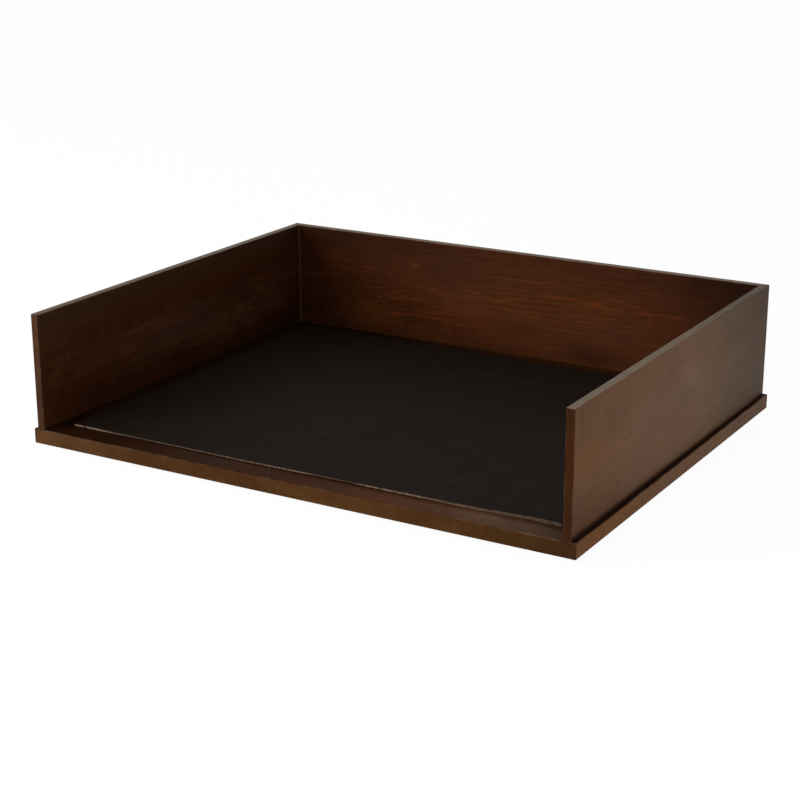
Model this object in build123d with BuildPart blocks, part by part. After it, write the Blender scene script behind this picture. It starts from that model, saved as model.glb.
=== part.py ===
from build123d import *
import os

# Wooden letter tray. Millimetres, +Z up, front towards -Y.
# The origin lies on the surface that the feet stand on, under the middle of the tray.

# Base board
board_width = 338.0
board_depth = 269.0
board_thickness = 8.8
board_easing = 0.7

# Walls, all of one thickness, standing on the board a little inside its edges
wall_thickness = 4.9
wall_height = 67.4
wall_easing = 0.5
side_reveal = 2.7
front_reveal = 0.2
rear_reveal = 1.0

# Rear corners: the back panel's ends lie in rebates cut in the sides
rebate_depth = 2.0
rebate_glue_gap = 0.1

# Panel pins, driven up through the board into the edges of the walls, their heads set in
pins_per_wall = 4
side_pin_front_inset = 26.0
side_pin_rear_inset = 22.0
back_pin_end_inset = 30.0
pin_length = 20.0
pin_diameter = 1.3
pin_head_diameter = 2.2
pin_head_thickness = 0.5
pin_head_sink = 0.6
pin_hole_clearance = 0.05
pin_hole_extra_depth = 0.5

# Liner: a thin sheet bonded to the board, with an uneven margin all round
liner_thickness = 1.0
liner_front_margin = 14.6
liner_rear_gap = 8.0
liner_left_gap = 9.6
liner_right_gap = 7.2

# Feet: set in from the walls, so that they drop inside the walls of a tray below
foot_diameter = 12.0
foot_height = 2.0
foot_edge_chamfer = 0.4
stack_clearance = 1.4

# Levels
board_bottom = foot_height
board_top = board_bottom + board_thickness

# Plan positions of the walls
wall_outer_x = board_width / 2 - side_reveal
wall_inner_x = wall_outer_x - wall_thickness
wall_middle_x = (wall_outer_x + wall_inner_x) / 2
wall_front_y = -board_depth / 2 + front_reveal
wall_rear_y = board_depth / 2 - rear_reveal
back_front_y = wall_rear_y - wall_thickness
back_middle_y = (wall_rear_y + back_front_y) / 2
rebate_x = wall_inner_x + rebate_depth
back_end_x = rebate_x - rebate_glue_gap

# Pin levels
pin_head_z = board_bottom + pin_head_sink
pin_wall_hole_depth = pin_head_z + pin_length - board_top + pin_hole_extra_depth
pin_hole_radius = pin_diameter / 2 + pin_hole_clearance


def spaced(first, last, count):
    """Return count places from first to last, evenly spaced."""
    pitch = (last - first) / (count - 1)
    return [first + pitch * number for number in range(count)]


side_pin_ys = spaced(
    wall_front_y + side_pin_front_inset,
    back_front_y - side_pin_rear_inset,
    pins_per_wall,
)
back_pin_xs = spaced(
    -back_end_x + back_pin_end_inset,
    back_end_x - back_pin_end_inset,
    pins_per_wall,
)
left_pin_places = [(-wall_middle_x, y) for y in side_pin_ys]
right_pin_places = [(wall_middle_x, y) for y in side_pin_ys]
back_pin_places = [(x, back_middle_y) for x in back_pin_xs]

# Foot positions
foot_x = wall_inner_x - stack_clearance - foot_diameter / 2
foot_y = back_front_y - stack_clearance - foot_diameter / 2

os.makedirs("parts", exist_ok=True)


def finish(piece, name):
    """Label a finished piece and write its file."""
    piece.label = name
    export_step(piece, f"parts/{name}.step")
    print(f"{name}: {len(piece.solids())} solid, {piece.volume / 1000:.2f} cm3")


def facing_down(places, level):
    """Return planes at the places that look down, so that holes from them run up."""
    return [Plane(origin=(x, y, level), x_dir=(1, 0, 0), z_dir=(0, 0, -1)) for x, y in places]


# Base board: every edge eased, and a stepped hole for each pin
with BuildPart() as base_board:
    with BuildSketch(Plane.XY.offset(board_bottom)):
        Rectangle(board_width, board_depth)
    extrude(amount=board_thickness)
    fillet(base_board.edges(), board_easing)
    all_pin_places = left_pin_places + right_pin_places + back_pin_places
    with Locations(*facing_down(all_pin_places, board_bottom)):
        CounterBoreHole(
            radius=pin_hole_radius,
            counter_bore_radius=pin_head_diameter / 2 + pin_hole_clearance,
            counter_bore_depth=pin_head_sink + pin_head_thickness,
            depth=board_thickness,
        )
finish(base_board.part, "base_board")

# Left side: a plan profile with the rear rebate, raised to the wall's height
with BuildPart() as left_side:
    with BuildSketch(Plane.XY.offset(board_top)):
        with BuildLine():
            Polyline(
                (-wall_outer_x, wall_front_y),
                (-wall_inner_x, wall_front_y),
                (-wall_inner_x, back_front_y),
                (-rebate_x, back_front_y),
                (-rebate_x, wall_rear_y),
                (-wall_outer_x, wall_rear_y),
                close=True,
            )
        make_face()
    extrude(amount=wall_height)
    uprights = left_side.edges().filter_by(Axis.Z)
    front_uprights = uprights.group_by(Axis.Y)[0]
    rear_outer_upright = uprights.group_by(Axis.Y)[-1].sort_by(Axis.X)[0]
    rim = left_side.faces().sort_by(Axis.Z)[-1].edges()
    long_rims = rim.filter_by(Axis.Y).sort_by(SortBy.LENGTH)[-2:]
    end_rims = rim.filter_by(Axis.X).sort_by(Axis.Y)
    fillet(
        [*front_uprights, rear_outer_upright, *long_rims, end_rims[0], end_rims[-1]],
        wall_easing,
    )
    with Locations(*facing_down(left_pin_places, board_top)):
        Hole(radius=pin_hole_radius, depth=pin_wall_hole_depth)
finish(left_side.part, "left_side")

# Right side: the left side's mirror image
with BuildPart() as right_side:
    mirror(left_side.part, about=Plane.YZ)
finish(right_side.part, "right_side")

# Back panel: stands between the sides with its ends in their rebates
with BuildPart() as back_panel:
    with BuildSketch(Plane.XY.offset(board_top)):
        with Locations((0, back_middle_y)):
            Rectangle(2 * back_end_x, wall_thickness)
    extrude(amount=wall_height)
    back_rims = back_panel.faces().sort_by(Axis.Z)[-1].edges().filter_by(Axis.X)
    fillet(back_rims, wall_easing)
    with Locations(*facing_down(back_pin_places, board_top)):
        Hole(radius=pin_hole_radius, depth=pin_wall_hole_depth)
finish(back_panel.part, "back_panel")

# Liner
liner_left_x = -wall_inner_x + liner_left_gap
liner_right_x = wall_inner_x - liner_right_gap
liner_front_y = -board_depth / 2 + liner_front_margin
liner_rear_y = back_front_y - liner_rear_gap

with BuildPart() as liner:
    with BuildSketch(Plane.XY.offset(board_top)):
        with Locations(((liner_left_x + liner_right_x) / 2, (liner_front_y + liner_rear_y) / 2)):
            Rectangle(liner_right_x - liner_left_x, liner_rear_y - liner_front_y)
    extrude(amount=liner_thickness)
finish(liner.part, "liner")


upright = (Align.CENTER, Align.CENTER, Align.MIN)


def make_foot(x, y):
    """Return a soft foot, a short round button with a chamfered lower edge."""
    with BuildPart(Plane((x, y, 0))) as foot:
        Cylinder(foot_diameter / 2, foot_height, align=upright)
        chamfer(foot.edges().group_by(Axis.Z)[0], foot_edge_chamfer)
    return foot.part


foot_places = {
    "foot_front_left": (-foot_x, -foot_y),
    "foot_front_right": (foot_x, -foot_y),
    "foot_rear_left": (-foot_x, foot_y),
    "foot_rear_right": (foot_x, foot_y),
}
for foot_name, foot_place in foot_places.items():
    finish(make_foot(*foot_place), foot_name)


def make_pin(x, y):
    """Return a panel pin, head down: a flat round head and a round shank."""
    with BuildPart(Plane((x, y, pin_head_z))) as pin:
        Cylinder(pin_head_diameter / 2, pin_head_thickness, align=upright)
        Cylinder(pin_diameter / 2, pin_length, align=upright)
    return pin.part


pin_rows = {
    "left_side_pin": left_pin_places,
    "right_side_pin": right_pin_places,
    "back_panel_pin": back_pin_places,
}
for row_name, row_places in pin_rows.items():
    for number, pin_place in enumerate(row_places, start=1):
        finish(make_pin(*pin_place), f"{row_name}_{number}")
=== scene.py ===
import logging
import math
from dataclasses import dataclass, replace
from enum import Enum

import bmesh
import bpy
from mathutils import Matrix, Vector


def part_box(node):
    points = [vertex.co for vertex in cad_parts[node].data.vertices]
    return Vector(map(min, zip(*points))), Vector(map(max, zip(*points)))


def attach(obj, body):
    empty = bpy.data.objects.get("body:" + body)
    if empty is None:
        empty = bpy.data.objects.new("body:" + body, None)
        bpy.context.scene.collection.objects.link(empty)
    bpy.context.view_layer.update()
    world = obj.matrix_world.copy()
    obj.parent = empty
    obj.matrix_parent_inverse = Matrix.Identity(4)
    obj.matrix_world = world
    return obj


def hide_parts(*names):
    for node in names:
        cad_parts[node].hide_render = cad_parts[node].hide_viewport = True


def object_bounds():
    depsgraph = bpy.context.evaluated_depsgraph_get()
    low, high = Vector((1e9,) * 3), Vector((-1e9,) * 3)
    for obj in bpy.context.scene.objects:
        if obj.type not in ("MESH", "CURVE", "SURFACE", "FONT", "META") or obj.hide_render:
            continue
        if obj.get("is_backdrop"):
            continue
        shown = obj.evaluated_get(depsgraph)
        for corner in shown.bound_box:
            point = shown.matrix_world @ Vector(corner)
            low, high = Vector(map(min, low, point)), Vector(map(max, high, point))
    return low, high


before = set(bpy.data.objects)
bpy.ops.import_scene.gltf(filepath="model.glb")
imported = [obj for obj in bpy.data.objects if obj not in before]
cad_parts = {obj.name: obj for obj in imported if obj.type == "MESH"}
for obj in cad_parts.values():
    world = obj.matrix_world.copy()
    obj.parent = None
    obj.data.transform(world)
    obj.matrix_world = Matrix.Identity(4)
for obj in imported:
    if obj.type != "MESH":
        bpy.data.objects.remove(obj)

logging.basicConfig(level=logging.INFO, format="%(message)s")
log = logging.getLogger("letter_tray")

MM = 0.001

Socket = bpy.types.NodeSocket
Triple = tuple[float, float, float]
Colour = Triple


class GrainRun(Enum):
    """Which way the wood's grain runs in a panel, as its along, across and thickness axes."""

    SIDE_WALL = ("Y", "Z", "X")
    BACK_WALL = ("X", "Z", "Y")
    BASE = ("Y", "X", "Z")


class Faces(Enum):
    """Which faces of a panel a change of tone reaches."""

    ALL = "all"
    INNER = "inner"
    ENDS = "ends"


@dataclass(frozen=True)
class Pattern:
    """Smooth noise: its turns a metre along each axis, its detail, its roughness and its shift."""

    turns: Triple
    detail: float = 2.0
    roughness: float = 0.5
    shift: Triple = (0.0, 0.0, 0.0)


@dataclass(frozen=True)
class Ramp:
    """A smooth change from start to end, while a value goes from low to high."""

    low: float
    high: float
    start: float = 0.0
    end: float = 1.0

    def below(self, level: float) -> "Ramp":
        """Return this ramp with its range measured down from a level."""
        return replace(self, low=level - self.low, high=level - self.high)

    def over(self, width: float) -> "Ramp":
        """Return this ramp with its range measured in widths."""
        return replace(self, low=self.low * width, high=self.high * width)


class NodeGraph:
    """Builds a node tree from short calls."""

    def __init__(self, tree: bpy.types.NodeTree) -> None:
        """Start with an emptied tree."""
        self.tree = tree
        self.tree.nodes.clear()

    def feed(self, socket: Socket, value: object) -> None:
        """Give an input its value.

        Args:
            socket: the input.
            value: an output to link to it, or a number, a triple or a colour to set it to.
        """
        if isinstance(value, bpy.types.NodeSocket):
            self.tree.links.new(value, socket)
        elif isinstance(value, tuple) and len(value) == 3 and socket.type == "RGBA":
            socket.default_value = (*value, 1.0)
        else:
            socket.default_value = value

    def node(self, kind: str, feeds: dict[str | int, object], **settings: object) -> bpy.types.Node:
        """Add a node.

        Args:
            kind: the node's type name.
            feeds: what goes into each input, by name or number.
            settings: the node's own settings.

        Returns:
            The new node.
        """
        made = self.tree.nodes.new(kind)
        for key, value in settings.items():
            setattr(made, key, value)
        for key, value in feeds.items():
            self.feed(made.inputs[key], value)
        return made

    def number(self, operation: str, *values: object) -> Socket:
        """Return one arithmetic step's result."""
        return self.node("ShaderNodeMath", dict(enumerate(values)), operation=operation).outputs[0]

    def times(self, first: object, second: object) -> Socket:
        """Return the product of two numbers."""
        return self.number("MULTIPLY", first, second)

    def added(self, first: object, second: object, third: object) -> Socket:
        """Return the product of two numbers, added to a third."""
        return self.number("MULTIPLY_ADD", first, second, third)

    def less(self, first: object, second: object) -> Socket:
        """Return the first number less the second."""
        return self.number("SUBTRACT", first, second)

    def distance(self, first: Socket, second: Socket) -> Socket:
        """Return how far a point is, from how far it is along two axes."""
        squares = self.number("ADD", self.times(first, first), self.times(second, second))
        return self.number("SQRT", squares)

    def place(self) -> Socket:
        """Return the Object coordinates, which are the row frame's metres."""
        return self.node("ShaderNodeTexCoord", {}).outputs["Object"]

    def parts(self, vector: Socket) -> dict[str, Socket]:
        """Return a vector's three parts by name."""
        made = self.node("ShaderNodeSeparateXYZ", {0: vector})
        return {name: made.outputs[name] for name in "XYZ"}

    def joined(self, first: object, second: object, third: object) -> Socket:
        """Return a vector made of three numbers."""
        return self.node("ShaderNodeCombineXYZ", {0: first, 1: second, 2: third}).outputs[0]

    def stretched(self, vector: Socket, factors: Triple, shift: Triple = (0.0, 0.0, 0.0)) -> Socket:
        """Return a vector multiplied part by part, then shifted."""
        feeds = {0: vector, 1: factors, 2: shift}
        return self.node("ShaderNodeVectorMath", feeds, operation="MULTIPLY_ADD").outputs[0]

    def noise(self, point: Socket, pattern: Pattern) -> Socket:
        """Return a pattern's value at a point, from 0 to 1."""
        feeds = {
            "Vector": self.stretched(point, pattern.turns, pattern.shift),
            "Scale": 1.0,
            "Detail": pattern.detail,
            "Roughness": pattern.roughness,
        }
        return self.node("ShaderNodeTexNoise", feeds).outputs[0]

    def band(self, value: Socket, ramp: Ramp) -> Socket:
        """Return what a ramp makes of a value."""
        feeds = {0: value, 1: ramp.low, 2: ramp.high, 3: ramp.start, 4: ramp.end}
        return self.node("ShaderNodeMapRange", feeds, interpolation_type="SMOOTHSTEP").outputs[0]

    def mixed(self, share: object, first: object, second: object, mode: str = "MIX") -> Socket:
        """Return two colours mixed by a share."""
        feeds = {0: share, 6: first, 7: second}
        return self.node("ShaderNodeMix", feeds, data_type="RGBA", blend_type=mode).outputs[2]

    def tinted(self, colour: object, gain: object) -> Socket:
        """Return a colour multiplied part by part."""
        return self.mixed(1.0, colour, gain, "MULTIPLY")

    def dimmed(self, colour: object, factor: Socket) -> Socket:
        """Return a colour multiplied by one number."""
        return self.tinted(colour, self.joined(factor, factor, factor))

    def bump(self, height: Socket, depth: float, normal: Socket | None = None) -> Socket:
        """Return a normal bent by a height pattern.

        Args:
            height: the pattern.
            depth: how deep its full range is, in metres.
            normal: the normal to bend, where it isn't the surface's own.

        Returns:
            The bent normal.
        """
        feeds = {"Height": height, "Distance": depth}
        if normal is not None:
            feeds["Normal"] = normal
        return self.node("ShaderNodeBump", feeds).outputs[0]


class ShaderGraph(NodeGraph):
    """Builds one material's node tree."""

    def __init__(self, name: str) -> None:
        """Start an empty material of that name."""
        self.material = bpy.data.materials.new(name)
        self.material.use_nodes = True
        super().__init__(self.material.node_tree)

    def closed(self, shader: bpy.types.Node) -> bpy.types.Material:
        """Send a shader to the material's output, and return the material."""
        self.node("ShaderNodeOutputMaterial", {"Surface": shader.outputs[0]})
        return self.material

    def surface(self, **feeds: object) -> bpy.types.Material:
        """Close the tree with a surface shader whose inputs are given by name, with _ for a space."""
        named = {key.replace("_", " "): value for key, value in feeds.items()}
        return self.closed(self.node("ShaderNodeBsdfPrincipled", named))


def placed(shape: bmesh.types.BMesh, name: str, *materials: bpy.types.Material) -> bpy.types.Object:
    """Make a finished shape an object of the scene, at the origin.

    Args:
        shape: the shape, which is freed.
        name: the name of the object and of its mesh.
        materials: its materials, in the order of its faces' material numbers.

    Returns:
        The object.
    """
    mesh = bpy.data.meshes.new(name)
    shape.to_mesh(mesh)
    shape.free()
    for material in materials:
        mesh.materials.append(material)
    made = bpy.data.objects.new(name, mesh)
    bpy.context.scene.collection.objects.link(made)
    return made


def dress_node(node: str, material: bpy.types.Material) -> None:
    """Give the CAD node of that name one material."""
    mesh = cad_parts[node].data
    mesh.materials.clear()
    mesh.materials.append(material)


@dataclass(frozen=True)
class Growth:
    """Where a panel was sliced from the log, which sets the loops and lines of its figure.

    The rings' middle line runs along the grain at heart, leans by tilt, and sinks under the surface
    beyond tip, by sink metres a metre, so that the rings close there in long loops. The lines are
    gap apart, and fade within spread of the middle line.
    """

    heart: float
    tilt: float
    tip: float
    sink: float
    gap: float = 0.0048
    spread: float = 0.06


@dataclass(frozen=True)
class Stroke:
    """A pale line in the figure, between two places along and across a panel, given in millimetres.

    It bows across the grain by bow at its middle, and wanders a little.
    """

    start: tuple[float, float]
    end: tuple[float, float]
    strength: float
    bow: float = 0.0
    width: float = 0.9


@dataclass(frozen=True)
class Blotch:
    """A soft-edged place on a panel whose tone changes, given in millimetres: some took more or less stain,
    and others are painted shade, light and reflection.

    Its gain multiplies the wood's red, green and blue at its middle. It is on the panel's inner
    face, or else on every face but that one and the two ends.
    """

    along: float
    across: float
    reach_along: float
    reach_across: float
    gain: Colour
    inner: bool = True


@dataclass(frozen=True)
class Fade:
    """A slow change in a panel's tone between two places on one axis: some are stain that the wood took,
    and others are painted shade and light.

    Its powers say how strongly red, green and blue follow it.
    """

    axis: str
    start: float
    end: float
    first: float
    last: float
    faces: Faces = Faces.ALL
    powers: Triple = (1.0, 1.0, 1.0)


@dataclass(frozen=True)
class StainedWood:
    """Dark stain under satin lacquer, on plain-sliced wood with faint figure, with painted shade and sheen.

    The patterns lie in a panel's own wood, whose first axis runs along the grain. Only peel, cells
    and rub lie in the tray's frame. Depths, sways and the ramps of skin, rim, top, foot and ledge
    are in metres.
    """

    deep: Colour = (0.085, 0.0340, 0.0110)
    middle: Colour = (0.122, 0.0540, 0.0188)
    glow: Colour = (0.330, 0.1150, 0.0260)
    # Painted shade: the dark colour along the foot of a wall and on the board's ledge beside it.
    painted_shade: Colour = (0.012, 0.0036, 0.0012)
    # A warm brown for the upper edge of the painted shade at a wall's foot, also used for the corner beads'
    # patches.
    warm: Colour = (0.052, 0.0190, 0.0035)
    # Pale colour: stain rubbed off along the edges, and a painted sheen along the walls' tops.
    rubbed_and_sheen: Colour = (0.205, 0.1430, 0.0940)
    cloud: Pattern = Pattern((8, 26, 26), 3.0)
    mottle: Pattern = Pattern((75, 55, 55), 3.0, 0.55)
    mottle_share: float = 0.35
    stain: Ramp = Ramp(0.28, 0.62)
    roughness: Ramp = Ramp(0.25, 0.75, 0.38, 0.5)
    fibre: Pattern = Pattern((15, 800, 800), 3.0, 0.6)
    fibre_streak: Ramp = Ramp(0.25, 0.75)
    fibre_depth: float = 0.00003
    pore: Pattern = Pattern((240, 3600, 3600), 1.0)
    pore_edge: Ramp = Ramp(0.6, 0.72)
    pore_tone: float = 0.3
    pore_roughness: float = 0.15
    pore_depth: float = 0.00004
    peel: Pattern = Pattern((420, 420, 420))
    peel_tone: Ramp = Ramp(0.25, 0.75, 0.93, 1.07)
    peel_depth: float = 0.00004
    ring_swings: tuple[tuple[Pattern, float], ...] = (
        (Pattern((7, 30, 30), 3.0), 0.0110),
        (Pattern((34, 110, 110), shift=(0.0, 5.7, 0.0)), 0.0042),
        (Pattern((60, 240, 240), 1.0), 0.0020),
    )
    ring_rise: Ramp = Ramp(0.34, 0.5)
    ring_fall: Ramp = Ramp(0.6, 0.5)
    ring_breaks: Pattern = Pattern((38, 130, 130), 3.0, 0.6, (3.1, 0.0, 0.0))
    ring_left: Ramp = Ramp(0.43, 0.64)
    ring_near: Ramp = Ramp(1.0, 0.4, 0.12)
    ring_tone: Ramp = Ramp(0.0, 0.9, 1.05, 0.91)
    wander: Pattern = Pattern((95, 190, 190), 3.0, 0.6, (0.0, 2.3, 0.0))
    stroke_sway: float = 0.003
    stroke_blur: float = 1.3
    stroke_start: Ramp = Ramp(-0.04, 0.12)
    stroke_end: Ramp = Ramp(1.04, 0.85)
    stroke_breaks: Pattern = Pattern((260, 620, 620))
    stroke_left: Ramp = Ramp(0.34, 0.66, 0.1)
    blotch_fray: float = 0.7
    blotch_fall: Ramp = Ramp(1.0, 0.1)
    skin: Ramp = Ramp(0.0005, 0.0002)
    cells: Pattern = Pattern((1150, 1150, 90), 3.0, 0.6)
    cell_tone: Ramp = Ramp(0.3, 0.7, 0.95, 1.05)
    rub: Pattern = Pattern((55, 55, 55), 4.0, 0.65)
    end_rub: Ramp = Ramp(0.35, 0.65, 0.87, 1.05)
    rim: Ramp = Ramp(0.001, 0.0002)
    rim_rub: Ramp = Ramp(0.42, 0.68)
    # The painted sheen along a wall's top, and its patches.
    top: Ramp = Ramp(0.0003, 0.0001)
    top_sheen: Ramp = Ramp(0.3, 0.7, 0.7, 0.95)
    # The painted shade where a wall meets the board: its line's sway, its warm edge and its dark line.
    foot_sway: float = 0.0012
    foot_warmth: float = 0.55
    foot_shade: Ramp = Ramp(0.0012, -0.0006, 0.0, 0.9)
    # The painted shade on the board's ledge, darker toward the wall, and where it stops under the wall.
    ledge_shade: Ramp = Ramp(0.3, 0.75, 0.35, 0.9)
    ledge_edge: float = 0.0004


@dataclass(frozen=True)
class WoodPanel:
    """One CAD panel that keeps its shape and gets the stained finish."""

    node: str
    run: GrainRun
    shift: Triple
    growth: Growth
    inward: float = 1.0
    # Inner faces are darker and redder: partly the stain, partly painted shade.
    inner_stain_and_shade: Colour = (0.36, 0.22, 0.14)
    outer_stain: Colour = (1.0, 1.0, 1.0)
    end_stain: Colour = (0.55, 0.45, 0.40)
    fades: tuple[Fade, ...] = ()
    # Changes to the painted sheen on a wall's top.
    top_sheen_fades: tuple[Fade, ...] = ()
    glow: float = 0.35
    streak: float = 0.1
    ring_tone: float = 1.0
    # The width of the board's ledge, which gets painted shade.
    ledge: float = 0.0
    rim_wear: float = 0.35
    stands: bool = True
    # Where the painted shade along a wall's foot lies, how it slants, and how high its warm edge reaches.
    foot_line: float = 0.0002
    foot_taper: float = 0.0
    foot_halo: float = 0.002
    ior: float = 1.14
    strokes: tuple[Stroke, ...] = ()
    stroke_tone: float = 0.62
    blotches: tuple[Blotch, ...] = ()
    finish: StainedWood = StainedWood()

    def dress(self) -> None:
        """Give the CAD node its finish."""
        dress_node(self.node, PanelGraph(self).finished())
        log.info("dressed %s", self.node)


class PanelGraph(ShaderGraph):
    """Builds one panel's material, coat by coat, each over the tone that the last one left."""

    def __init__(self, panel: WoodPanel) -> None:
        """Start the material.

        Args:
            panel: the panel, with its grain's run and its own shift through the wood.
        """
        super().__init__(f"stained wood {panel.node}")
        self.panel = panel
        self.finish = finish = panel.finish
        self.tone = finish.deep
        self.low, self.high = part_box(panel.node)
        whole = self.place()
        self.point = self.parts(whole)
        self.along, self.across, through = (self.point[name] for name in panel.run.value)
        axes = zip((self.along, self.across, through), panel.shift)
        self.wood = self.joined(*(self.number("ADD", axis, shift) for axis, shift in axes))
        self.cloud = self.noise(self.wood, finish.cloud)
        self.fibre = self.noise(self.wood, finish.fibre)
        self.pores = self.band(self.noise(self.wood, finish.pore), finish.pore_edge)
        self.wander = self.noise(self.wood, finish.wander)
        self.peel = self.noise(whole, finish.peel)
        self.rub = self.noise(whole, finish.rub)
        run_axis, _, thick_axis = ("XYZ".index(name) for name in panel.run.value)
        half = (self.high[thick_axis] - self.low[thick_axis]) / 2
        towards = self.less(through, (self.low[thick_axis] + self.high[thick_axis]) / 2)
        self.inside = self.band(self.times(towards, panel.inward), finish.skin.below(half))
        self.at_end = self.band(self.gap(run_axis), finish.skin)
        self.outside = self.less(1.0, self.number("MAXIMUM", self.inside, self.at_end))

    def gap(self, axis: int) -> Socket:
        """Return how far a point lies behind the nearer of the two faces across an axis."""
        low, high = self.low[axis], self.high[axis]
        off_middle = self.less(self.point["XYZ"[axis]], (low + high) / 2)
        return self.less((high - low) / 2, self.number("ABSOLUTE", off_middle))

    def edge_distance(self) -> Socket:
        """Measure how far a point on a face is from the nearest edge of that face.

        Returns:
            The distance in metres: the middle one of the gaps to the three pairs of faces.
        """
        first, second, third = (self.gap(axis) for axis in range(3))
        smaller = self.number("MINIMUM", first, second)
        larger = self.number("MAXIMUM", first, second)
        return self.number("MAXIMUM", smaller, self.number("MINIMUM", larger, third))

    def rings(self) -> tuple[Socket, Socket]:
        """Draw the growth rings' thin lines and their broad change of tone.

        Returns:
            The lines from 0 to 1, broken into short stretches, and a factor near 1 for the tone.
        """
        finish, growth = self.finish, self.panel.growth
        heart = self.added(self.along, growth.tilt, growth.heart)
        aside = self.less(self.across, heart)
        depth = self.times(self.less(growth.tip, self.along), growth.sink)
        reach = self.distance(aside, self.number("MAXIMUM", depth, 0.0))
        for pattern, swing in finish.ring_swings:
            reach = self.added(self.noise(self.wood, pattern), swing, reach)
        ring = self.number("FRACT", self.number("DIVIDE", reach, growth.gap))
        line = self.times(self.band(ring, finish.ring_rise), self.band(ring, finish.ring_fall))
        breaks = self.noise(self.wood, finish.ring_breaks)
        line = self.times(line, self.band(breaks, finish.ring_left))
        near = self.band(self.number("ABSOLUTE", aside), finish.ring_near.over(growth.spread))
        late = self.number("FRACT", self.number("ADD", ring, 0.5))
        return self.times(line, near), self.band(late, finish.ring_tone)

    def stroke(self, stroke: Stroke) -> Socket:
        """Draw one pale line of the figure.

        Args:
            stroke: the line.

        Returns:
            How strongly it shows, from 0 to 1.
        """
        finish = self.finish
        first, last = (Vector(point) * MM for point in (stroke.start, stroke.end))
        span = last.x - first.x
        run = self.added(self.along, 1.0 / span, -first.x / span)
        path = self.added(run, last.y - first.y, first.y)
        arch = self.times(run, self.less(1.0, run))
        path = self.added(arch, 4.0 * stroke.bow * MM, path)
        path = self.added(self.wander, finish.stroke_sway, path)
        across = self.number("ADD", self.across, finish.stroke_sway / 2)
        off = self.number("ABSOLUTE", self.less(across, path))
        line = self.less(1.0, self.number("DIVIDE", off, stroke.width * finish.stroke_blur * MM))
        line = self.times(self.number("MAXIMUM", line, 0.0), stroke.strength)
        ends = self.times(self.band(run, finish.stroke_start), self.band(run, finish.stroke_end))
        return self.times(line, ends)

    def strokes(self) -> Socket:
        """Draw the inner face's pale lines, broken up as real ones are.

        Returns:
            How strongly they show, from 0 to 1.
        """
        finish = self.finish
        drawn = self.stroke(self.panel.strokes[0])
        for stroke in self.panel.strokes[1:]:
            drawn = self.number("MAXIMUM", drawn, self.stroke(stroke))
        left = replace(finish.stroke_left, end=self.panel.stroke_tone)
        left = self.band(self.noise(self.wood, finish.stroke_breaks), left)
        return self.times(self.times(drawn, left), self.inside)

    def blotch(self, blotch: Blotch) -> Socket:
        """Draw one blotch.

        Args:
            blotch: the blotch.

        Returns:
            How strongly it shows, from 0 to 1.
        """
        finish = self.finish
        offs = (
            self.added(value, 1.0 / (reach * MM), -middle / reach)
            for value, middle, reach in (
                (self.along, blotch.along, blotch.reach_along),
                (self.across, blotch.across, blotch.reach_across),
            )
        )
        fray = self.less(self.wander, 0.5)
        away = self.added(fray, finish.blotch_fray, self.distance(*offs))
        reached = self.inside if blotch.inner else self.outside
        return self.times(self.band(away, finish.blotch_fall), reached)

    def faded(self, tone: object, fade: Fade) -> Socket:
        """Make one slow change to a tone.

        Args:
            tone: the colour to change.
            fade: the change.

        Returns:
            The changed tone.
        """
        ramp = Ramp(fade.start, fade.end, fade.first, fade.last)
        shade = self.band(self.point[fade.axis], ramp)
        if fade.faces is not Faces.ALL:
            reached = self.inside if fade.faces is Faces.INNER else self.at_end
            shade = self.added(self.less(shade, 1.0), reached, 1.0)
        shades = (shade if power == 1.0 else self.number("POWER", shade, power) for power in fade.powers)
        return self.tinted(tone, self.joined(*shades))

    def lay_wood(self) -> None:
        """Start with the wood's even stain, its figure, fibre, pores and stipple."""
        finish, panel = self.finish, self.panel
        share = self.times(self.cloud, 1.0 - finish.mottle_share)
        mottle = self.noise(self.wood, finish.mottle)
        share = self.added(mottle, finish.mottle_share, share)
        tone = self.mixed(self.band(share, finish.stain), self.tone, finish.middle)
        lines, broad = self.rings()
        tone = self.mixed(self.times(lines, panel.glow), tone, finish.glow)
        if panel.strokes:
            tone = self.mixed(self.strokes(), tone, finish.glow)
        streak = replace(finish.fibre_streak, start=1.0 - panel.streak, end=1.0 + panel.streak)
        broad = self.number("POWER", broad, panel.ring_tone)
        tone = self.dimmed(tone, self.times(self.band(self.fibre, streak), broad))
        tone = self.mixed(self.times(self.pores, finish.pore_tone), tone, finish.deep)
        self.tone = self.dimmed(tone, self.band(self.peel, finish.peel_tone))

    def stain(self) -> None:
        """Lay the panel's own stain and end grain, then its fades and blotches, which are partly stain and
        partly painted shade, light and reflection.
        """
        finish, panel = self.finish, self.panel
        stain = self.mixed(self.inside, panel.outer_stain, panel.inner_stain_and_shade)
        tone = self.tinted(self.tone, stain)
        cells = self.band(self.noise(self.place(), finish.cells), finish.cell_tone)
        cells = self.times(cells, self.band(self.rub, finish.end_rub))
        end_tone = self.dimmed(self.tinted(tone, panel.end_stain), cells)
        tone = self.mixed(self.at_end, tone, end_tone)
        for fade in panel.fades:
            tone = self.faded(tone, fade)
        for blotch in panel.blotches:
            tone = self.mixed(self.blotch(blotch), tone, self.tinted(tone, blotch.gain))
        self.tone = tone

    def paint_ledge_shade(self) -> None:
        """Paint shade on the board's ledge beside the walls, darker toward each wall."""
        finish, width = self.finish, self.panel.ledge
        reach = self.less(self.high.x, self.number("ABSOLUTE", self.point["X"]))
        shade_share = self.times(self.band(reach, finish.ledge_shade.over(width)), self.inside)
        shade_share = self.times(shade_share, self.band(reach, Ramp(width + finish.ledge_edge, width)))
        self.tone = self.mixed(shade_share, self.tone, finish.painted_shade)

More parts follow.
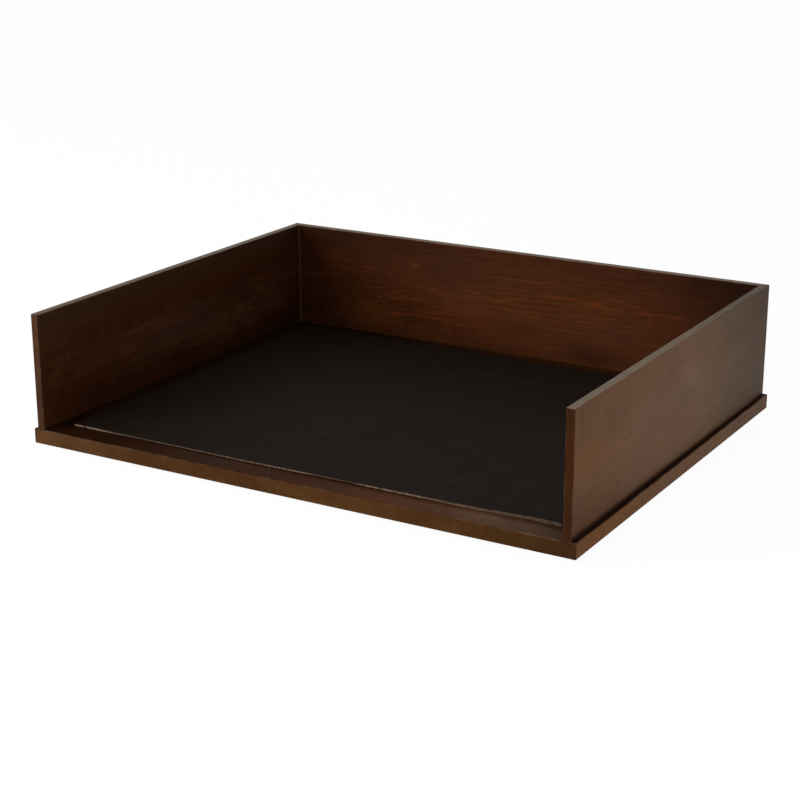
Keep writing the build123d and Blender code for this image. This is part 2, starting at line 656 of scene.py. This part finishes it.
    def wear_and_sheen(self) -> None:
        """Rub the stain off along the edges, and paint a sheen along a wall's top."""
        finish, panel = self.finish, self.panel
        wear_and_sheen = self.band(self.rub, replace(finish.rim_rub, end=panel.rim_wear))
        wear_and_sheen = self.times(self.band(self.edge_distance(), finish.rim), wear_and_sheen)
        # Painted sheen: a wall's top is paler and greyer.
        if panel.stands:
            top = self.band(self.point["Z"], finish.top.below(self.high.z))
            top = self.times(top, self.band(self.rub, finish.top_sheen))
            wear_and_sheen = self.number("MAXIMUM", wear_and_sheen, top)
        rubbed_and_sheen = finish.rubbed_and_sheen
        for fade in panel.top_sheen_fades:
            rubbed_and_sheen = self.faded(rubbed_and_sheen, fade)
        self.tone = self.mixed(wear_and_sheen, self.tone, rubbed_and_sheen)

    def paint_foot_shade(self) -> None:
        """Paint a warm, then a dark shade along a wall's foot, where it meets the board."""
        finish, panel = self.finish, self.panel
        line = self.added(self.along, panel.foot_taper, panel.foot_line)
        line = self.added(self.rub, finish.foot_sway, line)
        above = self.less(self.less(self.point["Z"], self.low.z), line)
        on_face = self.less(1.0, self.at_end)
        halo = self.band(above, Ramp(panel.foot_halo, 0.0, end=finish.foot_warmth))
        tone = self.mixed(self.times(halo, on_face), self.tone, finish.warm)
        shade_share = self.times(self.band(above, finish.foot_shade), on_face)
        self.tone = self.mixed(shade_share, tone, finish.painted_shade)

    def finished(self) -> bpy.types.Material:
        """Lay all the coats, and close the graph.

        Returns:
            The panel's material.
        """
        finish = self.finish
        self.lay_wood()
        self.stain()
        if self.panel.ledge:
            self.paint_ledge_shade()
        self.wear_and_sheen()
        if self.panel.stands:
            self.paint_foot_shade()
        roughness = self.band(self.cloud, finish.roughness)
        dulled = self.times(self.pores, finish.pore_roughness)
        normal = self.bump(self.peel, finish.peel_depth)
        normal = self.bump(self.fibre, finish.fibre_depth, normal)
        return self.surface(
            Base_Color=self.tone,
            Roughness=self.number("ADD", roughness, dulled),
            IOR=self.panel.ior,
            Normal=self.bump(self.times(self.pores, -1.0), finish.pore_depth, normal),
        )


@dataclass
class WoodBody:
    """The base board and the three walls."""

    base_board: WoodPanel = WoodPanel(
        "base_board",
        GrainRun.BASE,
        (0.31, 0.12, 0.05),
        Growth(heart=0.02, tilt=0.0, tip=-0.4, sink=0.0),
        inner_stain_and_shade=(0.46, 0.32, 0.22),
        end_stain=(0.74, 0.69, 0.56),
        # Painted shade and light: the top is darker toward the left wall and lighter toward the right,
        # darker again by the right wall and just in front of the liner; the front and back faces darken
        # toward the right end and turn paler and greyer at the left end; every face darkens toward the
        # rear.
        fades=(
            Fade("X", -0.15, 0.1, 0.43, 1.85, Faces.INNER),
            Fade("X", 0.11, 0.165, 1.0, 0.62, Faces.INNER),
            Fade("Y", -0.1185, -0.128, 0.55, 1.0, Faces.INNER),
            Fade("X", 0.07, 0.16, 1.0, 0.55, Faces.ENDS),
            Fade("X", -0.01, 0.05, 0.96, 1.04, Faces.ENDS),
            Fade("X", -0.095, -0.12, 1.0, 1.2, Faces.ENDS, (1.0, 1.5, 2.6)),
            Fade("Y", 0.0, 0.134, 1.0, 0.8),
        ),
        # Among these, the greyer, bluer patch at the right of the top's front strip is a painted
        # reflection, and the brighter patch just in front of the liner's right part is painted light
        # against the shadow of the liner's edge.
        blotches=(
            Blotch(-127, 2, 16, 62, (0.76, 0.7, 0.62)),
            Blotch(-128, 132, 20, 62, (1.16, 1.9, 4.3)),
            Blotch(-127, -2, 30, 80, (0.79, 0.61, 0.24)),
            Blotch(-120, 115, 14, 64, (1.4, 1.45, 1.5)),
            Blotch(-85, 169, 105, 60, (1.05, 0.89, 0.5), inner=False),
        ),
        ior=1.1,
        glow=0.0,
        ring_tone=0.0,
        ledge=0.0027,
        rim_wear=0.36,
        stands=False,
    )
    left_side: WoodPanel = WoodPanel(
        "left_side",
        GrainRun.SIDE_WALL,
        (1.37, 0.4, 0.22),
        Growth(heart=0.02, tilt=0.02, tip=0.02, sink=0.03, gap=0.0058),
        end_stain=(0.57, 0.47, 0.44),
        fades=(
            Fade("Y", 0.0, 0.12, 1.0, 0.9, Faces.INNER),
            Fade("Z", 0.06, 0.074, 1.0, 0.75, Faces.INNER, (1.0, 0.0, -1.0)),
            Fade("Z", 0.05, 0.018, 1.0, 0.72, Faces.ENDS),
        ),
        # The painted sheen on the top is dimmed, most toward the front.
        top_sheen_fades=(Fade("Y", -0.13, 0.13, 0.8, 0.88),),
        glow=0.22,
        ior=1.18,
        # Painted reflection: these paler, bluer patches on the inner face are a lilac sheen.
        blotches=(
            Blotch(104, 34, 54, 30, (1.75, 1.95, 2.6)),
            Blotch(-20, 46, 80, 26, (1.18, 1.3, 1.9)),
            Blotch(-104, 56, 50, 20, (1.02, 1.2, 1.8)),
            Blotch(-10, 39, 165, 23, (1.85, 2.45, 4.2)),
            Blotch(46, 26, 52, 20, (1.75, 2.1, 2.8)),
        ),
        strokes=(
            Stroke((-130, 66.3), (-66, 63.2), 0.34, bow=0.6),
            Stroke((-46, 65.4), (-28, 68.3), 0.24),
            Stroke((-121, 49.6), (-94, 47.8), 0.22),
            Stroke((-74, 50.4), (2, 49), 0.26, bow=-0.8),
            Stroke((15, 47.8), (30, 46.8), 0.18),
            Stroke((75.5, 63), (81.5, 53), 0.4, width=2.2),
            Stroke((76.5, 53.6), (92, 50.2), 0.5, width=2.0),
            Stroke((84, 50), (92.5, 65.5), 0.2, width=1.6),
            Stroke((64, 77), (73.5, 69), 0.22, width=2.4),
            Stroke((82, 47), (97.5, 33), 0.2, width=2.4),
        ),
    )
    right_side: WoodPanel = WoodPanel(
        "right_side",
        GrainRun.SIDE_WALL,
        (2.91, 0.83, 0.37),
        Growth(heart=0.03, tilt=0.05, tip=-0.05, sink=0.08, gap=0.007),
        inward=-1.0,
        end_stain=(0.42, 0.3, 0.22),
        # Painted shade: the wall darkens toward the rear and low down near the board, and loses blue toward
        # the front, where less sheen shows.
        fades=(
            Fade("Y", 0.02, 0.133, 1.0, 0.44, powers=(1.0, 1.0, 1.3)),
            Fade("Y", -0.134, -0.04, 0.9, 1.0, powers=(0.9, 1.9, 5.0)),
            Fade("Y", -0.06, 0.06, 1.0, 0.94, powers=(1.0, 0.3, 0.0)),
            Fade("Z", 0.0108, 0.035, 0.82, 1.0),
            Fade("Z", 0.046, 0.074, 1.0, 0.87),
        ),
        # The painted sheen on the top dims toward the rear and grows paler and greyer toward the front.
        top_sheen_fades=(
            Fade("Y", -0.01, 0.09, 1.0, 0.58),
            Fade("Y", 0.0, -0.06, 1.0, 1.16, powers=(1.0, 1.35, 1.8)),
        ),
        outer_stain=(1.05, 1.108, 1.276),
        ior=1.12,
        blotches=(
            Blotch(-118, 16, 80, 26, (0.74, 0.61, 0.36), inner=False),
            Blotch(16, 54, 26, 15, (1.15, 1.24, 1.4), inner=False),
            Blotch(-40, 58, 60, 22, (0.95, 1.01, 1.1), inner=False),
            Blotch(-92, 58, 26, 16, (0.9, 0.86, 0.88), inner=False),
            Blotch(70, 62, 30, 16, (0.86, 0.9, 0.92), inner=False),
            Blotch(104, 30, 26, 14, (1.06, 1.02, 0.95), inner=False),
        ),
        glow=0.1,
        ring_tone=0.35,
        rim_wear=0.15,
        # Where the painted shade at this wall's foot lies, and how high its warm edge reaches.
        foot_line=0.0008,
        foot_taper=-0.006,
        foot_halo=0.0042,
    )
    back_panel: WoodPanel = WoodPanel(
        "back_panel",
        GrainRun.BACK_WALL,
        (4.18, 0.61, 0.09),
        Growth(heart=0.0464, tilt=0.045, tip=-0.066, sink=0.13, gap=0.0036, spread=0.026),
        inward=-1.0,
        inner_stain_and_shade=(0.7, 0.44, 0.33),
        # Painted shade and light: the inner face is darker toward both ends and toward the top, lighter
        # through its lower middle, and darker again near its foot.
        fades=(
            Fade("X", 0.075, 0.161, 1.0, 0.38, Faces.INNER),
            Fade("X", -0.161, -0.02, 0.48, 1.0, Faces.INNER),
            Fade("Z", 0.048, 0.078, 1.0, 0.72, Faces.INNER),
            Fade("Z", 0.0108, 0.042, 0.74, 1.0, Faces.INNER),
        ),
        glow=0.32,
        streak=0.17,
        strokes=(
            Stroke((-141, 62.4), (-33, 42.4), 0.6, bow=-0.8),
            Stroke((-140, 58), (-112, 52.4), 0.5, bow=-2.4),
            Stroke((-118, 52.2), (-88, 53.8), 0.4, bow=0.5),
            Stroke((-99.6, 36.4), (-70, 45.2), 0.75, bow=1.0),
            Stroke((-99, 34.2), (-64, 38.6), 0.85, bow=1.6, width=1.3),
            Stroke((-100.5, 37.6), (-94, 34.6), 0.8, width=1.6),
            Stroke((-77, 65.4), (-69.4, 59.6), 0.75, width=1.3),
            Stroke((-75.5, 59), (-68.8, 61.2), 1.0, width=1.8),
            Stroke((-90, 26.6), (-34, 25.6), 0.7, bow=1.9),
            Stroke((-43, 57.2), (-28, 58.2), 0.65, bow=0.9),
            Stroke((-36, 50.6), (-5, 45.8), 0.65, bow=-0.6),
            Stroke((-24, 41), (18, 38.6), 0.45, bow=0.8),
            Stroke((-8, 46), (13, 50.2), 0.55, bow=0.9),
            Stroke((18, 52), (66, 50.6), 0.8, bow=2.0, width=1.2),
            Stroke((50, 50.8), (64, 54.8), 0.7, width=1.3),
            Stroke((64, 58), (95, 54), 0.45, bow=-0.6),
            Stroke((84, 51.2), (106, 52.4), 0.6, bow=-0.5),
            Stroke((0, 40.4), (38, 37.8), 0.5, bow=-0.7),
            Stroke((40, 43.4), (84, 41.6), 0.35, bow=1.0),
            Stroke((-6, 61), (34, 63.4), 0.3, bow=-1.2),
        ),
        blotches=(
            Blotch(56, 19, 30, 9, (0.62, 0.6, 0.7)),
            Blotch(-132, 58, 16, 14, (1.3, 1.15, 0.9)),
            Blotch(-60, 72, 60, 10, (0.86, 0.86, 1.2)),
            Blotch(-38, 58, 46, 15, (0.74, 0.76, 0.95)),
            Blotch(-108, 24, 36, 17, (1.85, 1.95, 1.7)),
            Blotch(-135, 74, 40, 16, (0.8, 0.72, 0.5)),
            Blotch(72, 34, 36, 12, (0.85, 0.93, 1.2)),
            Blotch(-34, 32, 50, 15, (1.3, 1.26, 1.35)),
            Blotch(110, 50, 34, 24, (1.12, 1.06, 1.15)),
            Blotch(58, 52, 40, 8, (1.12, 1.1, 1.0)),
            Blotch(-116, 34, 26, 18, (1.1, 1.1, 0.8)),
        ),
    )

    def dress(self) -> None:
        """Give every panel its finish."""
        for panel in (self.base_board, self.left_side, self.right_side, self.back_panel):
            panel.dress()


@dataclass(frozen=True)
class Leathercloth:
    """Matt dark brown sheet with a fine pebbled face, and a pale cut edge with painted shadows in places.

    The ramps that darken the cut toward its right end and lay its painted shadows go across the tray, in
    metres.
    """

    face: Colour = (0.0100, 0.0062, 0.0044)
    face_light: Colour = (0.0150, 0.0092, 0.0062)
    pebble_turns: Triple = (1250.0, 1250.0, 1250.0)
    pebble_gaps: Ramp = Ramp(0.35, 0.75)
    pebble_softness: float = 0.6
    pebble_depth: float = 0.0001
    mottle: Pattern = Pattern((60, 60, 60), 4.0, 0.6)
    mottle_tone: Ramp = Ramp(0.3, 0.7)
    face_roughness: Ramp = Ramp(0.3, 0.7, 0.6, 0.72)
    face_ior: float = 1.12
    cut: Colour = (0.360, 0.245, 0.165)
    cut_dark: Colour = (0.046, 0.028, 0.016)
    # The painted shadow along the cut's lower edge.
    cut_painted_shadow: Colour = (0.008, 0.004, 0.002)
    cut_roughness: float = 0.85
    cut_ior: float = 1.22
    thread: Pattern = Pattern((1500, 1500, 3200), 3.0, 0.6)
    thread_tone: Ramp = Ramp(0.35, 0.62)
    thread_depth: float = 0.0002
    stretch: Pattern = Pattern((22, 22, 22), shift=(7.3, 0.0, 0.0))
    stretch_tone: Ramp = Ramp(0.56, 0.7)
    fleck: Pattern = Pattern((330, 330, 900), 3.0, 0.65, (0.0, 4.1, 0.0))
    fleck_tone: Ramp = Ramp(0.47, 0.34)
    fleck_depth: float = 0.0006
    # The cut darkens toward its right end, and a painted shadow lies over part of its left.
    right_darkening: Ramp = Ramp(0.01, 0.16, end=0.74)
    left_painted_shadow: Ramp = Ramp(-0.132, -0.118, end=0.62)
    left_painted_shadow_end: Ramp = Ramp(0.0, -0.06)
    # Where the painted shadow along the cut's lower edge lies, and where it fades out toward the right end.
    foot_height: float = 0.00032
    foot_blur: float = 0.00015
    foot_thread_sway: float = 0.0008
    foot_stretch_sway: float = -0.0010
    foot_end: Ramp = Ramp(0.1, 0.06)

    def face_material(self) -> bpy.types.Material:
        """Make the pebbled face's material.

        Returns:
            The material.
        """
        graph = ShaderGraph("liner leathercloth")
        place = graph.place()
        feeds = {"Vector": graph.stretched(place, self.pebble_turns), "Scale": 1.0}
        feeds["Smoothness"] = self.pebble_softness
        pebble = graph.node("ShaderNodeTexVoronoi", feeds, feature="SMOOTH_F1").outputs["Distance"]
        mottle = graph.noise(place, self.mottle)
        tone = graph.mixed(graph.band(mottle, self.mottle_tone), self.face, self.face_light)
        return graph.surface(
            Base_Color=graph.mixed(graph.band(pebble, self.pebble_gaps), tone, self.face),
            Roughness=graph.band(mottle, self.face_roughness),
            IOR=self.face_ior,
            Normal=graph.bump(pebble, self.pebble_depth),
        )

    def cut_material(self) -> bpy.types.Material:
        """Make the cut edge's material.

        Returns:
            The material.
        """
        graph = ShaderGraph("liner cut edge")
        place = graph.place()
        parts = graph.parts(place)
        thread = graph.noise(place, self.thread)
        stretch = graph.noise(place, self.stretch)
        fleck = graph.noise(place, self.fleck)
        tone = graph.mixed(graph.band(thread, self.thread_tone), self.cut_dark, self.cut)
        tone = graph.mixed(graph.band(stretch, self.stretch_tone), tone, self.cut_dark)
        tone = graph.mixed(graph.band(fleck, self.fleck_tone), tone, self.cut_dark)
        # Darker toward the right end, and a painted shadow over part of the left.
        right_darkening = graph.band(parts["X"], self.right_darkening)
        left_painted_shadow = graph.times(graph.band(parts["X"], self.left_painted_shadow), graph.band(parts["X"], self.left_painted_shadow_end))
        tone = graph.mixed(graph.number("MAXIMUM", right_darkening, left_painted_shadow), tone, self.cut_dark)
        # The painted shadow along the cut's lower edge, fading out toward the right end.
        foot = graph.added(thread, self.foot_thread_sway, parts["Z"])
        foot = graph.added(stretch, self.foot_stretch_sway, foot)
        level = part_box("liner")[0].z + self.foot_height
        shade = graph.band(foot, Ramp(level, level - self.foot_blur))
        shade = graph.times(shade, graph.band(parts["X"], self.foot_end))
        return graph.surface(
            Base_Color=graph.mixed(shade, tone, self.cut_painted_shadow),
            Roughness=self.cut_roughness,
            IOR=self.cut_ior,
            Normal=graph.bump(fleck, self.fleck_depth, graph.bump(thread, self.thread_depth)),
        )


@dataclass(frozen=True)
class EdgeWave:
    """A place where the liner's hand-cut front edge leaves its straight line."""

    middle: float
    reach: float
    step: float

    def at(self, x: float) -> float:
        """Return how far the edge moves at x."""
        return self.step * math.exp(-(((x - self.middle) / self.reach) ** 2))


@dataclass
class Liner:
    """The bonded sheet on the base board, with its slightly uneven front edge.

    The waves move the front edge to the rear, and the swells lift it. Paces are in radians a metre.
    """

    finish: Leathercloth = Leathercloth()
    columns: int = 300
    rows: int = 100
    rim: float = 0.18 * MM
    side_slope: float = 0.5
    sink: float = 0.02 * MM
    sink_pace_x: float = 61.0
    sink_pace_y: float = 47.0
    wave_power: int = 6
    fray: float = 0.12 * MM
    fray_pace: float = 1130.0
    fray_slip: float = 2.0
    slip_pace: float = 310.0
    bunch_pace: float = 470.0
    bunch_start: float = 1.3
    swell_reach: float = 2.2 * MM
    swell_share: float = 0.85
    swell_fray: float = 0.2
    waves: tuple[EdgeWave, ...] = (
        EdgeWave(-0.03, 0.03, -0.5 * MM),
        EdgeWave(0.135, 0.022, 1.5 * MM),
        EdgeWave(-0.09, 0.015, -0.2 * MM),
    )
    swells: tuple[EdgeWave, ...] = (
        EdgeWave(0.158, 0.034, 1.45 * MM),
        EdgeWave(0.085, 0.04, 0.45 * MM),
        EdgeWave(-0.152, 0.02, 0.25 * MM),
    )

    def frayed(self, x: float) -> float:
        """Return the cut's small unevenness at x, from -1 to 1."""
        threads = math.sin(self.fray_pace * x + self.fray_slip * math.sin(self.slip_pace * x))
        return threads * math.sin(self.bunch_pace * x + self.bunch_start)

    def waved(self, x: float) -> float:
        """Return how far the front edge lies to the rear of its straight line at x."""
        return sum(wave.at(x) for wave in self.waves)

    def swollen(self, x: float) -> float:
        """Return how far the front edge is lifted at x."""
        lift = sum(swell.at(x) for swell in self.swells)
        return lift * (self.swell_share + self.swell_fray * self.frayed(x))

    def top_sheet(self) -> bmesh.types.BMesh:
        """Start the shape as a fine grid whose front edge is pulled out of line.

        Returns:
            The sheet's top, which sinks a little in places.
        """
        low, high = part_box("liner")
        width, depth, _ = high - low
        middle = ((low.x + high.x) / 2, (low.y + high.y) / 2, high.z)
        shape = bmesh.new()
        bmesh.ops.create_grid(shape, x_segments=self.columns, y_segments=self.rows, size=0.5)
        bmesh.ops.scale(shape, vec=(width, depth, 1.0), verts=shape.verts)
        bmesh.ops.translate(shape, vec=middle, verts=shape.verts)
        for vert in shape.verts:
            share = ((high.y - vert.co.y) / depth) ** self.wave_power
            vert.co.y += share * (self.waved(vert.co.x) + self.fray * self.frayed(vert.co.x))
            dip = math.sin(vert.co.x * self.sink_pace_x) * math.sin(vert.co.y * self.sink_pace_y)
            vert.co.z += self.sink * (dip - 1.0)
        return shape

    def build(self) -> bpy.types.Object:
        """Build the sheet in place of its CAD node.

        Returns:
            The sheet.
        """
        low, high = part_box("liner")
        width, depth, thickness = high - low
        shape = self.top_sheet()
        bmesh.ops.solidify(shape, geom=list(shape.faces), thickness=thickness - 2 * self.sink)
        bmesh.ops.recalc_face_normals(shape, faces=shape.faces)
        for face in shape.faces:
            face.smooth = True
            if abs(face.normal.z) < self.side_slope:
                face.material_index = 1
        for vert in shape.verts:
            if vert.co.z > (low.z + high.z) / 2:
                from_edge = vert.co.y - low.y - self.waved(vert.co.x)
                vert.co.z += self.swollen(vert.co.x) * math.exp(-((from_edge / self.swell_reach) ** 2))
        rims = [edge for edge in shape.edges if len({face.material_index for face in edge.link_faces}) == 2]
        bmesh.ops.bevel(
            shape,
            geom=rims,
            offset=self.rim,
            segments=2,
            profile=0.5,
            affect="EDGES",
            material=-1,
            clamp_overlap=True,
        )
        materials = (self.finish.face_material(), self.finish.cut_material())
        piece = placed(shape, "liner_sheet", *materials)
        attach(piece, "root")
        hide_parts("liner")
        log.info("built liner_sheet")
        return piece


@dataclass(frozen=True)
class PatchyFinish:
    """One colour with patches of another, in fine relief, which its gloss follows unless told."""

    name: str
    colour: Colour
    patch_colour: Colour
    patches: Pattern
    patch_share: Ramp
    roughness: Ramp
    relief: Pattern
    relief_depth: float
    gloss: Pattern | None = None
    ior: float = 1.5
    metallic: float = 0.0

    def material(self) -> bpy.types.Material:
        """Make the finish's material.

        Returns:
            The material.
        """
        graph = ShaderGraph(self.name)
        place = graph.place()
        share = graph.band(graph.noise(place, self.patches), self.patch_share)
        return graph.surface(
            Base_Color=graph.mixed(share, self.colour, self.patch_colour),
            Metallic=self.metallic,
            Roughness=graph.band(graph.noise(place, self.gloss or self.relief), self.roughness),
            IOR=self.ior,
            Normal=graph.bump(graph.noise(place, self.relief), self.relief_depth),
        )


@dataclass
class CornerBeads:
    """The line of lacquer that fills each rear corner, coloured a little paler than the walls, partly as a
    painted highlight.
    """

    radius: float = 1.2 * MM
    lift: float = 0.05 * MM
    top_drop: float = 0.7 * MM
    arc_steps: int = 8
    finish: PatchyFinish = PatchyFinish(
        "corner lacquer",
        # Paler than the walls: partly the lacquer's own colour and partly a painted highlight.
        colour=(0.052, 0.024, 0.012),
        patch_colour=StainedWood.warm,
        patches=Pattern((300, 300, 60), 3.0),
        patch_share=Ramp(0.3, 0.7, end=0.7),
        roughness=Ramp(0.3, 0.7, 0.42, 0.56),
        relief=Pattern((300, 300, 60), 3.0),
        relief_depth=0.00008,
        ior=1.12,
    )

    def shape(self, corner_x: float, turn: float) -> bmesh.types.BMesh:
        """Shape one bead: the space between the corner and an arc, raised to the walls' height.

        Args:
            corner_x: where the corner is across the tray.
            turn: 1 for the left corner, and -1 for the right one.

        Returns:
            The bead.
        """
        low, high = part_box("back_panel")
        shape = bmesh.new()
        middle = Vector((corner_x + turn * self.radius, low.y - self.radius, low.z + self.lift))
        first = shape.verts.new(middle - Vector((turn * self.radius, 0.0, 0.0)))
        bmesh.ops.spin(
            shape,
            geom=[first],
            cent=middle,
            axis=(0.0, 0.0, 1.0),
            angle=-turn * math.pi / 2,
            steps=self.arc_steps,
        )
        corner = shape.verts.new((corner_x, low.y, middle.z))
        ends = [vert for vert in shape.verts if len(vert.link_edges) == 1]
        for vert in ends:
            shape.edges.new((vert, corner))
        bmesh.ops.contextual_create(shape, geom=list(shape.edges))
        raised = bmesh.ops.extrude_face_region(shape, geom=list(shape.faces))["geom"]
        top = [item for item in raised if isinstance(item, bmesh.types.BMVert)]
        height = high.z - self.top_drop - middle.z
        bmesh.ops.translate(shape, vec=(0.0, 0.0, height), verts=top)
        bmesh.ops.recalc_face_normals(shape, faces=shape.faces)
        return shape

    def build(self) -> None:
        """Build one bead in each rear corner."""
        material = self.finish.material()
        for name, corner_x, turn in (
            ("corner_bead_left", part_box("left_side")[1].x, 1.0),
            ("corner_bead_right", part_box("right_side")[0].x, -1.0),
        ):
            piece = placed(self.shape(corner_x, turn), name, material)
            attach(piece, "root")
            log.info("built %s", name)


@dataclass
class Feet:
    """The four soft buttons under the base board, of matt black rubber, dusty in places."""

    names: tuple[str, ...] = ("foot_front_left", "foot_front_right", "foot_rear_left", "foot_rear_right")
    finish: PatchyFinish = PatchyFinish(
        "foot rubber",
        colour=(0.012, 0.012, 0.012),
        patch_colour=(0.045, 0.042, 0.039),
        patches=Pattern((160, 420, 160), 3.0),
        patch_share=Ramp(0.45, 0.75),
        gloss=Pattern((160, 420, 160), 3.0),
        roughness=Ramp(0.3, 0.7, 0.55, 0.8),
        relief=Pattern((900, 900, 900), 4.0, 0.65),
        relief_depth=0.00006,
    )

    def dress(self) -> None:
        """Give every foot its rubber."""
        material = self.finish.material()
        for name in self.names:
            dress_node(name, material)
        log.info("dressed %d feet", len(self.names))


@dataclass
class Pins:
    """The panel pins that hold the walls down, of drawn steel wire, dulled and slightly stained."""

    rows: tuple[str, ...] = ("left_side_pin", "right_side_pin", "back_panel_pin")
    count: int = 4
    finish: PatchyFinish = PatchyFinish(
        "pin steel",
        colour=(0.46, 0.45, 0.43),
        patch_colour=(0.16, 0.11, 0.075),
        patches=Pattern((700, 700, 700), 4.0, 0.6),
        patch_share=Ramp(0.5, 0.72),
        roughness=Ramp(0.3, 0.7, 0.3, 0.5),
        relief=Pattern((5200, 900, 5200)),
        relief_depth=0.00002,
        metallic=1.0,
    )

    def dress(self) -> None:
        """Give every pin its steel."""
        material = self.finish.material()
        for row in self.rows:
            for number in range(1, self.count + 1):
                dress_node(f"{row}_{number}", material)
        log.info("dressed %d pins", len(self.rows) * self.count)


@dataclass(frozen=True)
class SoftLamp:
    """One rectangular lamp: where it hangs, its two sides in metres and its power in watts."""

    name: str
    place: Triple
    width: float
    height: float
    power: float


@dataclass
class Studio:
    """A plain pale floor, a pale surround and soft lamps."""

    floor_reach: float = 9.0
    floor_colour: Colour = (0.94, 0.94, 0.94)
    seen_colour: Colour = (0.085, 0.085, 0.085)
    backdrop_light: float = 0.95
    surround_light: float = 0.36
    aim: Triple = (0.0, 0.0, 0.04)
    lamps: tuple[SoftLamp, ...] = (
        SoftLamp("key_lamp", (-1.6, -1.9, 1.0), 1.4, 1.4, 44.0),
        SoftLamp("front_lamp", (0.1, -2.4, 0.6), 1.2, 0.8, 10.0),
        SoftLamp("right_lamp", (1.75, -0.1, 0.13), 1.6, 0.26, 12.5),
    )

    def seen_rays(self, graph: NodeGraph) -> Socket:
        """Tell the rays that show the backdrop from those that light the tray.

        Args:
            graph: the node tree that asks.

        Returns:
            1 on camera, mirror and glass rays, and 0 on the others.
        """
        path = graph.node("ShaderNodeLightPath", {})
        seen = graph.number("MAXIMUM", path.outputs["Is Camera Ray"], path.outputs["Is Glossy Ray"])
        return graph.number("MAXIMUM", seen, path.outputs["Is Transmission Ray"])

    def build_floor(self) -> None:
        """Build the floor, white to the eye, that keeps the tray's shadow."""
        graph = ShaderGraph("studio floor")
        seen = self.seen_rays(graph)
        colour = graph.mixed(seen, self.floor_colour, self.seen_colour)
        plain = graph.node("ShaderNodeBsdfDiffuse", {"Color": colour})
        strength = graph.times(seen, self.backdrop_light)
        white = graph.node("ShaderNodeEmission", {"Color": (1.0, 1.0, 1.0), "Strength": strength})
        both = graph.node("ShaderNodeAddShader", {0: plain.outputs[0], 1: white.outputs[0]})
        shape = bmesh.new()
        bmesh.ops.create_circle(shape, cap_ends=True, radius=self.floor_reach, segments=64)
        placed(shape, "studio_floor", graph.closed(both))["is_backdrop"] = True

    def build_surround(self) -> None:
        """Build the pale surround that lights the tray from all sides."""
        world = bpy.data.worlds.new("studio_surround")
        bpy.context.scene.world = world
        world.use_nodes = True
        graph = NodeGraph(world.node_tree)
        strength = graph.band(self.seen_rays(graph), Ramp(0.0, 1.0, self.surround_light))
        glow = graph.node("ShaderNodeBackground", {"Strength": strength})
        graph.node("ShaderNodeOutputWorld", {"Surface": glow.outputs[0]})

    def add_lamp(self, lamp: SoftLamp) -> None:
        """Add one soft lamp that faces the tray.

        Args:
            lamp: the lamp.
        """
        light = bpy.data.lights.new(lamp.name, "AREA")
        light.shape = "RECTANGLE"
        light.size = lamp.width
        light.size_y = lamp.height
        light.energy = lamp.power
        holder = bpy.data.objects.new(lamp.name, light)
        holder.location = lamp.place
        holder.rotation_euler = (Vector(self.aim) - Vector(lamp.place)).to_track_quat("-Z", "Y").to_euler()
        bpy.context.scene.collection.objects.link(holder)

    def build(self) -> None:
        """Build the floor, the surround and the lamps."""
        self.build_floor()
        self.build_surround()
        for lamp in self.lamps:
            self.add_lamp(lamp)
        log.info("built the studio")


@dataclass
class PhotoCamera:
    """The camera, at the viewing angle of the photograph."""

    place: Triple = (0.50298, -0.87096, 0.34649)
    look_down: float = math.radians(18.1245)
    turn: float = math.radians(30.3694)
    lean: float = math.radians(-0.0636)
    lens: float = 81.853
    sensor: float = 36.0

    def build(self) -> None:
        """Add the camera and make it the scene's."""
        camera = bpy.data.cameras.new("photo_camera")
        camera.lens = self.lens
        camera.sensor_width = self.sensor
        camera.clip_end = 60.0
        holder = bpy.data.objects.new("photo_camera", camera)
        holder.location = self.place
        turned = Matrix.Rotation(self.turn, 3, "Z") @ Matrix.Rotation(math.pi / 2 - self.look_down, 3, "X")
        holder.rotation_euler = (turned @ Matrix.Rotation(self.lean, 3, "Z")).to_euler()
        bpy.context.scene.collection.objects.link(holder)
        bpy.context.scene.camera = holder


def main(cad_box: tuple[Vector, Vector]) -> None:
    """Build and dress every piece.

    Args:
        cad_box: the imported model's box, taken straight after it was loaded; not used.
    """
    bpy.context.scene.view_settings.view_transform = "Standard"
    PhotoCamera().build()
    Studio().build()
    WoodBody().dress()
    Liner().build()
    CornerBeads().build()
    Feet().dress()
    Pins().dress()
    bpy.context.view_layer.update()


if __name__ == "__main__":
    main(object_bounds())
